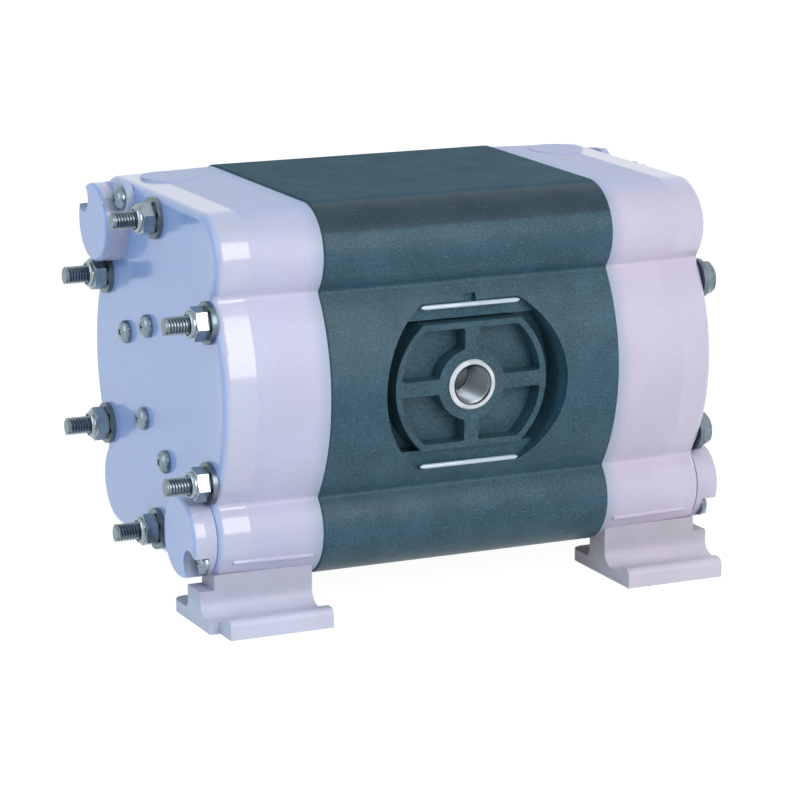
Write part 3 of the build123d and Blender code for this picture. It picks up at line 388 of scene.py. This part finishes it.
def threaded(mesh, crest, root, pitch, start, end, start_radius, end_radius, steps=28):
    """A helical thread round the X axis with a circle at each end. Returns the edges of both circles."""
    offsets = ((0.0, crest), (0.14, crest), (0.44, root), (0.68, root), (1.0, crest))
    profile = outlined(mesh, [(start - pitch * (1.5 - share), radius) for share, radius in offsets])
    turns = int((end - start) / pitch) + 3
    spun(mesh, profile, math.tau * turns, steps * turns, climb=pitch / steps)
    for vert in mesh.verts:
        if vert.co.x <= start:
            drawn_to(vert, start, start_radius)
        elif vert.co.x >= end:
            drawn_to(vert, end, end_radius)
    bmesh.ops.remove_doubles(mesh, verts=mesh.verts[:], dist=thread_merge)
    bmesh.ops.dissolve_degenerate(mesh, dist=thread_sliver, edges=mesh.edges[:])
    rims = [edge for edge in mesh.edges if edge.is_boundary]
    return [[edge for edge in rims if abs(edge.verts[0].co.x - x) < merge_distance] for x in (start, end)]


def pulled(mesh, rim, along, scale):
    """Extrudes an open rim to a new place on the X axis at a new size, and returns its new rim."""
    made = bmesh.ops.extrude_edge_only(mesh, edges=rim)["geom"]
    for part in made:
        if isinstance(part, bmesh.types.BMVert):
            part.co = (along, part.co.y * scale, part.co.z * scale)
    return [part for part in made if isinstance(part, bmesh.types.BMEdge) and part.is_boundary]


def hexagonal(mesh, across, low, high, bore, bevel_low, bevel_high, steps=72):
    """A hexagon round the X axis, chamfered at 30 degrees where bevel is true, and bored unless bore is 0."""
    flat = across / 2
    circle = flat * chamfer_share
    older = set(mesh.verts)
    turned(mesh, ((low, bore), (low, circle), (low, flat), (high, flat), (high, circle), (high, bore)), steps)
    for vert in mesh.verts:
        at_low, at_high = (abs(vert.co.x - end) < same_place for end in (low, high))
        on_flat = abs(math.hypot(vert.co.y, vert.co.z) - flat) < same_place
        if vert in older or not on_flat or not (at_low or at_high):
            continue
        angle = math.atan2(vert.co.z, vert.co.y)
        from_flat = (angle + math.pi / 6) % (math.pi / 3) - math.pi / 6
        edge = flat / math.cos(from_flat)
        drop = max(0.0, (edge - circle) * math.tan(chamfer_angle))
        inwards = drop * bevel_low if at_low else -drop * bevel_high
        drawn_to(vert, vert.co.x + inwards, edge)
    bmesh.ops.remove_doubles(mesh, verts=mesh.verts[:], dist=same_place)


def shaped(name, mesh, slot, material, *replaced):
    """Turns a bmesh into a piece that takes the place of CAD nodes."""
    bmesh.ops.recalc_face_normals(mesh, faces=mesh.faces[:])
    data = bpy.data.meshes.new(name)
    mesh.to_mesh(data)
    mesh.free()
    for polygon in data.polygons:
        polygon.use_smooth = True
    data.set_sharp_from_angle(angle=sharp_angle)
    data.materials.append(material)
    piece = bpy.data.objects.new(name, data)
    bpy.context.scene.collection.objects.link(piece)
    if replaced:
        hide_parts(*replaced)
    return piece


def settled(name, mesh, body, slot, material, *replaced):
    """Turns a bmesh into a piece that rides on its body and takes the place of CAD nodes."""
    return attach(shaped(name, mesh, slot, material, *replaced), body)


def repeated(single, places):
    """One mesh with a copy of single at each 4 by 4 place."""
    data = bpy.data.meshes.new("single")
    single.to_mesh(data)
    single.free()
    whole = bmesh.new()
    for place in places:
        before = len(whole.verts)
        whole.from_mesh(data)
        bmesh.ops.transform(whole, matrix=place, verts=whole.verts[before:])
    bpy.data.meshes.remove(data)
    return whole


bolt_count = 6
bolt_circle = 0.0527
bolt_angles = [math.radians(30.0 + 360.0 / bolt_count * number) for number in range(bolt_count)]
bolt_places = [
    Matrix.Translation((middle, bolt_circle * math.cos(angle), axis_height + bolt_circle * math.sin(angle)))
    for angle in bolt_angles
]
bolt_radius, thread_root, thread_pitch = 0.003, 0.00242, 0.001
bolt_tip, thread_end, under_head = -0.1046, -0.0880, 0.0920
tip_radius, tip_flat_share = 0.0023, 0.7
across_flats = 0.010
nut_seat, head_end = 0.0906, 0.0946

bolt = bmesh.new()
tip_rim, shank_rim = threaded(
    bolt, bolt_radius, thread_root, thread_pitch, bolt_tip, thread_end, tip_radius, bolt_radius
)
for rim, end, scale in ((tip_rim, bolt_tip, tip_flat_share), (shank_rim, under_head, 1.0)):
    bmesh.ops.contextual_create(bolt, geom=pulled(bolt, rim, end, scale))
hexagonal(bolt, across_flats, nut_seat, head_end, bore=0.0, bevel_low=False, bevel_high=True)
bolt_steel = plain_steel("bolt_steel", (0.13, 0.17, 0.195, 1), (0.27, 0.33, 0.37, 1), 0.28)
settled("tie_bolts_threaded", repeated(bolt, bolt_places), "housing", "stainless", bolt_steel, "tie_bolts")


# ---------------------------------------------------------------- nuts and washers
# Nylon-insert locknuts on wide washers at the left end. The rolled-over collar faces outwards and
# grips the nylon ring, so the nuts stay put although they only squeeze plastic.

nut_top = -0.0953
nut_bore = 0.00305
collar_outline = (
    (-0.0950, 0.0031), (-0.0950, 0.0045), (-0.0958, 0.0045), (-0.0963, 0.0043), (-0.0966, 0.0039),
    (-0.0966, 0.0036), (-0.0963, 0.0035), (-0.0955, 0.0035), (-0.0950, 0.0031),
)
nylon_outline = (
    (-0.0951, 0.00302), (-0.0961, 0.00302), (-0.0962, 0.0035), (-0.0951, 0.0035), (-0.0951, 0.00302),
)
nut_turns = (4.0, 12.0, 40.5, 42.0, 9.0, 50.0)

nut = bmesh.new()
hexagonal(nut, across_flats, nut_top, -nut_seat, bore=nut_bore, bevel_low=True, bevel_high=True)
turned(nut, collar_outline, steps=48)
nut_steel = plain_steel("nut_steel", (0.23, 0.28, 0.31, 1), (0.40, 0.47, 0.51, 1), 0.2)
nut_places = [
    place @ Matrix.Rotation(math.radians(turn), 4, "X") for place, turn in zip(bolt_places, nut_turns)
]
settled("locknuts", repeated(nut, nut_places), "housing", "stainless", nut_steel, "tie_bolt_nuts")

nylon_ring = bmesh.new()
turned(nylon_ring, nylon_outline, steps=40)
nylon, nylon_shader, nylon_place = start_finish("nylon")
nylon_grain = noise(nylon_place, 900.0)
feed(nylon_shader, "Base Color", tint(nylon_grain, (0.30, 0.36, 0.42, 1), (0.42, 0.47, 0.52, 1)))
feed(nylon_shader, "Roughness", 0.4 + nylon_grain * 0.2)
settled("locknut_nylon", repeated(nylon_ring, bolt_places), "housing", "stainless", nylon)

washer_steel = plain_steel("washer_steel", (0.10, 0.13, 0.155, 1), (0.20, 0.25, 0.28, 1), 0.30)
dress(washer_steel, "nut_washers", "head_washers")


# ---------------------------------------------------------------- pan-head screws
# Small self-cutting screws with a cross recess hold the port pieces and the valve covers inside the
# caps. Each has a low domed head.

blade_taper = 0.45


def cross_recess(width, length, depth, seat):
    """Two crossed tapering blades that stand in the head from seat outwards."""
    blades = bmesh.new()
    for turn in (0.0, math.pi / 2):
        made = bmesh.ops.create_cube(blades, size=1.0)["verts"]
        blade = Matrix.Rotation(turn, 4, "X") @ Matrix.Diagonal((depth * 2, width, length * 2, 1.0))
        bmesh.ops.transform(blades, matrix=blade, verts=made)
        for vert in made:
            if vert.co.x > 0:
                vert.co.y *= blade_taper
                vert.co.z *= blade_taper
    bmesh.ops.translate(blades, verts=blades.verts[:], vec=(seat, 0, 0))
    return blades


def linked(name, mesh):
    """An object in the scene for a modifier to work on."""
    bmesh.ops.recalc_face_normals(mesh, faces=mesh.faces[:])
    data = bpy.data.meshes.new(name)
    mesh.to_mesh(data)
    mesh.free()
    made = bpy.data.objects.new(name, data)
    bpy.context.scene.collection.objects.link(made)
    return made


def cut_from(body, tool):
    """The mesh of body with tool cut away. Both objects are used up."""
    cut = body.modifiers.new("cut", "BOOLEAN")
    cut.operation = "DIFFERENCE"
    cut.solver = "EXACT"
    cut.use_self = True
    cut.object = tool
    bpy.context.view_layer.update()
    data = bpy.data.meshes.new_from_object(body.evaluated_get(bpy.context.evaluated_depsgraph_get()))
    for used in (body, tool):
        bpy.data.objects.remove(used)
    return data


head_top = -0.0029
screw_outline = (
    (head_top, 0.0), (-0.00288, 0.0009), (-0.00278, 0.0018), (-0.00255, 0.0026), (-0.00215, 0.0032),
    (-0.00155, 0.0037), (-0.0009, 0.0039), (-0.0002, 0.0039), (0.0, 0.0037), (0.0, 0.0016),
    (0.0045, 0.0016), (0.0050, 0.0),
)
cap_screw_places = ((0.0270, 0.0093), (0.0074, 0.0150), (0.0120, -0.0175), (-0.0076, -0.0280))
port_screw_places = ((0.0466, 0.0526), (0.0240, 0.0554), (-0.0466, -0.0526), (-0.0240, -0.0554))
cap_face, flange_face = 0.089, 0.0915
first_turn, next_turn = 0.5, 1.1

screw = bmesh.new()
turned(screw, screw_outline, steps=40)
recess = cross_recess(width=0.0009, length=0.0020, depth=0.0016, seat=head_top)
screw_data = cut_from(linked("screw", screw), linked("blades", recess))
screw_steel = plain_steel("screw_steel", (0.15, 0.20, 0.245, 1), (0.30, 0.37, 0.43, 1), 0.26)
for end, side in (("left", 1.0), ("right", -1.0)):
    mirrored = Matrix.Diagonal((side, 1.0, 1.0, 1.0))
    for name, places, seat in (
        ("cap_screws", cap_screw_places, cap_face), ("port_screws", port_screw_places, flange_face),
    ):
        screws = bmesh.new()
        for number, (y, z) in enumerate(places):
            before = len(screws.verts)
            screws.from_mesh(screw_data)
            driven = Matrix.Rotation(first_turn + number * next_turn, 4, "X")
            placed = Matrix.Translation((middle - side * seat, y, axis_height + z)) @ mirrored @ driven
            bmesh.ops.transform(screws, matrix=placed, verts=screws.verts[before:])
        settled(f"{end}_{name}_crossed", screws, "housing", "stainless", screw_steel, f"{end}_{name}")
dress(screw_steel, "foot_screws")


# ---------------------------------------------------------------- air inlet bush
# A nickel-plated brass bush moulded in the front insert, with a quarter-inch pipe thread. It is the
# brightest part of the pump.

pipe_crest, pipe_root, pipe_pitch = 0.00572, 0.00655, 0.001411
bush_face = -0.056
bush_thread, bush_length = 0.0160, 0.0170
mouth_radius, back_radius = 0.0068, 0.0062
land_radius, bush_radius = 0.0081, 0.0085
edge_round = 0.0004
bore_shade = (0.0071, 0.0067)

bush = bmesh.new()
mouth_rim, back_rim = threaded(
    bush, pipe_crest, pipe_root, pipe_pitch, 0.0, bush_thread, mouth_radius, back_radius, steps=48
)
for vert in bush.verts:
    drawn_to(vert, vert.co.x, max(math.hypot(vert.co.y, vert.co.z), mouth_radius - vert.co.x))
rim = pulled(bush, mouth_rim, 0.0, land_radius / mouth_radius)
rim = pulled(bush, rim, edge_round, bush_radius / land_radius)
rim = pulled(bush, rim, bush_length, 1.0)
rim = pulled(bush, rim, bush_length, back_radius / bush_radius)
bmesh.ops.bridge_loops(bush, edges=rim + back_rim)
facing_front = Matrix.Translation((middle, bush_face, axis_height)) @ Matrix.Rotation(math.pi / 2, 4, "Z")
bmesh.ops.transform(bush, matrix=facing_front, verts=bush.verts[:])
nickel, nickel_shader, nickel_place = start_finish("nickel", metallic=1.0)
rings = noise(stretched(nickel_place, 1.0, 0.1, 1.0), 2400.0, 2.0)
dulled = noise(nickel_place, 180.0, 3.0)
bush_x, _, bush_z = coordinates(nickel_place)
# Painted shade: the threaded bore is painted dark.
bore = band(reach(bush_x - middle, bush_z - axis_height), *bore_shade)
plated = tint(band(dulled, 0.35, 0.7), (0.62, 0.66, 0.69, 1), (0.46, 0.50, 0.53, 1))
feed(nickel_shader, "Base Color", tint(bore, plated, (0.15, 0.18, 0.20, 1)))
feed(nickel_shader, "Roughness", 0.16 + rings * 0.12 + dulled * 0.06 + bore * 0.06)
feed(nickel_shader, "Normal", bump(rings, 0.00002, 0.3))
settled("air_inlet_bush_threaded", bush, "housing", "nickel_plated", nickel, "air_inlet_bush")


# ---------------------------------------------------------------- recess lips
# The two flats of the front recess end in a thin rounded lip. Each lip is glossy and painted pale, a
# painted highlight that shows as one bright line.

lip_y = -0.0535
lip_height = 0.0266
lip_half = ((0.0165, 0.0008), (0.0178, 0.0004), (0.0180, 0.0))
lip_outline = [(-along, radius) for along, radius in reversed(lip_half)] + list(lip_half)

lip = bmesh.new()
turned(lip, lip_outline, steps=20)
lip_places = [Matrix.Translation((middle, lip_y, axis_height + side * lip_height)) for side in (-1, 1)]
lip_highlight, lip_shader, lip_place = start_finish("lip_highlight", coat_weight=1.0)
# Painted highlight: the pale streaked colour stands in for the light caught on each lip.
lip_highlight_streaks = noise(stretched(lip_place, 0.3, 1.0, 1.0), 1300.0, 2.0)
feed(lip_shader, "Base Color", tint(lip_highlight_streaks, (0.62, 0.70, 0.75, 1), (0.40, 0.48, 0.54, 1)))
feed(lip_shader, "Roughness", 0.18 + lip_highlight_streaks * 0.15)
settled("recess_highlight_lips", repeated(lip, lip_places), "housing", "dark_polypropylene", lip_highlight)


# ---------------------------------------------------------------- port threads
# The two ports at the right end are tapped straight into the plastic. Only the crests show, as a
# spiral inside each mouth.

port_crest, port_root = 0.00532, 0.00568
port_mouth, port_thread_end = -0.0068, -0.0012
port_bore, sunk_radius = 0.00571, 0.0059
port_face, port_y, port_z = 0.097, 0.038, 0.0455

port_thread = bmesh.new()
outer_rim, inner_rim = threaded(
    port_thread, port_crest, port_root, pipe_pitch,
    port_mouth, port_thread_end, port_bore, port_bore, steps=40,
)
rim = pulled(port_thread, outer_rim, port_mouth, sunk_radius / port_bore)
rim = pulled(port_thread, rim, port_thread_end, 1.0)
bmesh.ops.bridge_loops(port_thread, edges=rim + inner_rim)
port_places = [
    Matrix.Translation((middle + port_face, side * port_y, axis_height + side * port_z)) for side in (-1, 1)
]
settled("port_threads", repeated(port_thread, port_places), "housing", "white_polypropylene", port_plastic)


# ---------------------------------------------------------------- diaphragms, plates and shaft
# The pumping parts: nitrile diaphragms clamped at the rim, aluminium plates on the air side, moulded
# plates on the fluid side, and one ground steel shaft in bronze bushes. The rubber bends all round
# between its rim and its middle, so each diaphragm is shown as a ring of wedges.

rubber, rubber_shader, rubber_place = start_finish("rubber", specular_ior_level=0.35)
weave = noise(rubber_place, 1400.0, 2.0)
bloom = noise(rubber_place, 70.0, 3.0)
feed(rubber_shader, "Base Color", tint(band(bloom, 0.35, 0.7), (0.02, 0.02, 0.021, 1), (0.05, 0.05, 0.05, 1)))
feed(rubber_shader, "Roughness", 0.62 + weave * 0.2)
feed(rubber_shader, "Normal", bump(weave, 0.00008, 0.5))
dress(
    rubber, "air_inlet_seal", "exhaust_seal", "port_seals", "manifold_seals",
    "sleeve_seals", "spool_seals", "shaft_seals",
)

rubber_faces = (0.0536, 0.0516)
clamped_middle = (0.0275, 0.0265)
clamped_rim = (0.0380, 0.0390)
hole_radius = 0.0043
rim_radius = 0.0465
fold_depth = 0.0040
wedge_count = 12
wedge_half = math.pi / wedge_count


def fold(face, inner, outer, steps=14):
    """Arc across the rolled fold of one face, as (along, radius) points from the middle outwards."""
    half = (outer - inner) / 2
    halfway = (inner + outer) / 2
    radius = (half * half + fold_depth * fold_depth) / (2 * fold_depth)
    widest = math.asin(half / radius)
    angles = [widest * (2 * step / steps - 1) for step in range(steps + 1)]
    centre = face - fold_depth + radius
    return [(centre - radius * math.cos(angle), halfway + radius * math.sin(angle)) for angle in angles]


def rubber_face(face, inner, outer):
    """One face of a diaphragm, from the hole out to the rim."""
    flat_middle = [(face, hole_radius), (face, (hole_radius + inner) / 2)]
    return flat_middle + fold(face, inner, outer) + [(face, rim_radius)]


def diaphragm_wedge(side, turn, steps=6):
    """A closed wedge of the diaphragm on one side of the pump, standing round the pump axis at the turn."""
    mesh = bmesh.new()
    fluid, air = (
        [mesh.verts.new((along, 0.0, radius)) for along, radius in rubber_face(*sizes)]
        for sizes in zip(rubber_faces, clamped_middle, clamped_rim)
    )
    for corners in zip(fluid, fluid[1:], air[1:], air):
        mesh.faces.new(corners)
    spun(mesh, mesh.verts[:] + mesh.edges[:] + mesh.faces[:], 2 * wedge_half, steps)
    facing = Matrix.Translation((middle, 0.0, axis_height)) @ Matrix.Diagonal((side, 1.0, 1.0, 1.0))
    placed = facing @ Matrix.Rotation(turn - math.pi / 2 - wedge_half, 4, "X")
    bmesh.ops.transform(mesh, matrix=placed, verts=mesh.verts[:])
    return mesh


for end, side in (("left", -1.0), ("right", 1.0)):
    for number in range(wedge_count):
        turn = 2 * wedge_half * number
        mesh = diaphragm_wedge(side, turn)
        segment = shaped(f"{end}_diaphragm_{number + 1}", mesh, "rubber", rubber, f"{end}_diaphragm")
        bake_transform(segment)

aluminium, aluminium_shader, aluminium_place = start_finish("aluminium", metallic=1.0)
lathe_marks = noise(stretched(aluminium_place, 0.15, 1.0, 1.0), 2600.0, 2.0)
oxide = noise(aluminium_place, 120.0, 3.0)
feed(aluminium_shader, "Base Color", tint(oxide, (0.66, 0.67, 0.69, 1), (0.52, 0.53, 0.55, 1)))
feed(aluminium_shader, "Roughness", 0.28 + lathe_marks * 0.16)
feed(aluminium_shader, "Normal", bump(lathe_marks, 0.00003, 0.4))
dress(aluminium, "left_inner_plate", "right_inner_plate", "valve_sleeve")

plate_plastic, plate_shader, plate_place = start_finish("plate_plastic")
plate_grain = noise(plate_place, 700.0, 3.0)
feed(plate_shader, "Base Color", tint(plate_grain, (0.62, 0.65, 0.74, 1), (0.72, 0.74, 0.8, 1)))
feed(plate_shader, "Roughness", 0.42 + plate_grain * 0.14)
feed(plate_shader, "Normal", bump(plate_grain, 0.00008, 0.3))
valve_nodes = [
    f"{end}_{duty}_{part}"
    for end in ("left", "right")
    for duty in ("suction", "discharge")
    for part in ("seat", "cage")
]
dress(plate_plastic, "left_outer_plate", "right_outer_plate", *valve_nodes)

ground_steel = plain_steel("ground_steel", (0.42, 0.43, 0.44, 1), (0.6, 0.61, 0.62, 1), 0.16)
dress(ground_steel, "diaphragm_shaft", "valve_spool", "pilot_pin", "valve_end_plates")

bronze, bronze_shader, bronze_place = start_finish("bronze", metallic=1.0)
pores = noise(bronze_place, 2200.0, 3.0)
feed(bronze_shader, "Base Color", tint(band(pores, 0.35, 0.6), (0.2, 0.12, 0.05, 1), (0.56, 0.38, 0.17, 1)))
feed(bronze_shader, "Roughness", 0.36 + pores * 0.2)
feed(bronze_shader, "Normal", bump(pores, 0.00005, 0.5))
dress(bronze, "shaft_bushes")


# ---------------------------------------------------------------- check valve balls and exhaust felt
# Polished white balls in the four check valves, and a disc of pressed felt behind the rear grille.

ball_white, ball_shader, ball_place = start_finish("ball_white")
ball_cloud = noise(ball_place, 500.0, 3.0)
feed(ball_shader, "Base Color", tint(ball_cloud, (0.84, 0.84, 0.82, 1), (0.9, 0.9, 0.89, 1)))
feed(ball_shader, "Roughness", 0.2 + ball_cloud * 0.1)
dress(ball_white, *[f"{end}_{duty}_ball" for end in ("left", "right") for duty in ("suction", "discharge")])

felt, felt_shader, felt_place = start_finish("felt")
fibre = noise(stretched(felt_place, 1.0, 1.0, 0.35), 1800.0, 4.0, 0.7)
tufts = noise(felt_place, 300.0, 3.0)
matted = band(fibre * 0.6 + tufts * 0.4, 0.35, 0.65)
feed(felt_shader, "Base Color", tint(matted, (0.3, 0.29, 0.26, 1), (0.6, 0.58, 0.53, 1)))
feed(felt_shader, "Roughness", 0.86 + fibre * 0.1)
feed(felt_shader, "Normal", bump(fibre, 0.0003, 0.8))
dress(felt, "exhaust_felt")


# ---------------------------------------------------------------- floor and light
# A white studio sweep: one large warm softbox in front, a cooler fill from each side and an even room
# that looks white to the camera and in mirrors.

def lamp(name, place, width, height, power, colour):
    """A rectangular lamp that points at the middle of the pump."""
    light = bpy.data.lights.new(name, "AREA")
    light.shape = "RECTANGLE"
    light.size, light.size_y = width, height
    light.energy = power
    light.color = colour
    made = bpy.data.objects.new(name, light)
    aim = lamp_target - Vector(place)
    made.matrix_world = Matrix.Translation(place) @ aim.to_track_quat("-Z", "Y").to_matrix().to_4x4()
    bpy.context.scene.collection.objects.link(made)


lamp_target = Vector((0.0, 0.0, 0.07))
lamp("softbox", (0.12, -0.80, 0.45), width=0.46, height=0.60, power=4.4, colour=(1.0, 0.94, 0.95))
lamp("left fill", (-0.9, -0.1, 0.5), width=0.7, height=0.7, power=2.2, colour=(0.72, 0.9, 1.0))
lamp("right fill", (0.9, 0.3, 0.5), width=0.7, height=0.7, power=2.0, colour=(0.9, 0.95, 1.0))



def seen_directly(shade):
    """1 where light reaches the camera straight, by a mirror or through glass, and 0 elsewhere."""
    straight, mirrored, through = (shade.node("ShaderNodeLightPath", {}, {}, ray) for ray in light_rays)
    return straight.math("MAXIMUM", straight, straight.math("MAXIMUM", mirrored, through))


light_rays = ("Is Camera Ray", "Is Glossy Ray", "Is Transmission Ray")
paper_glow, paper_glow_share = 1.22, 0.78
room_light, room_seen = (0.35, 0.455, 0.56, 1.0), (1.0, 1.0, 1.0, 1.0)

floor_mesh = bmesh.new()
bmesh.ops.create_grid(floor_mesh, x_segments=1, y_segments=1, size=6.0)
floor_data = bpy.data.meshes.new("floor")
floor_mesh.to_mesh(floor_data)
floor_mesh.free()
floor = bpy.data.objects.new("floor", floor_data)
bpy.context.scene.collection.objects.link(floor)
paper, paper_shader, paper_place = start_finish("paper", base_color=(0.86, 0.86, 0.86, 1), roughness=0.9)
glow = paper_place.node("ShaderNodeEmission", {}, {"Strength": paper_glow})
share = seen_directly(paper_place) * paper_glow_share
mixed = paper_place.node("ShaderNodeMixShader", {}, {0: share, 2: glow})
paper.node_tree.links.new(paper_shader.outputs[0], mixed.socket.node.inputs[1])
paper.node_tree.links.new(mixed.socket, paper.node_tree.nodes["Material Output"].inputs["Surface"])
floor_data.materials.append(paper)

world = bpy.data.worlds.new("room")
bpy.context.scene.world = world
world.use_nodes = True
background = world.node_tree.nodes["Background"]
room_colour = tint(seen_directly(Shade(world.node_tree)), room_light, room_seen)
world.node_tree.links.new(room_colour.socket, background.inputs["Color"])
bpy.context.scene.view_settings.view_transform = "Standard"
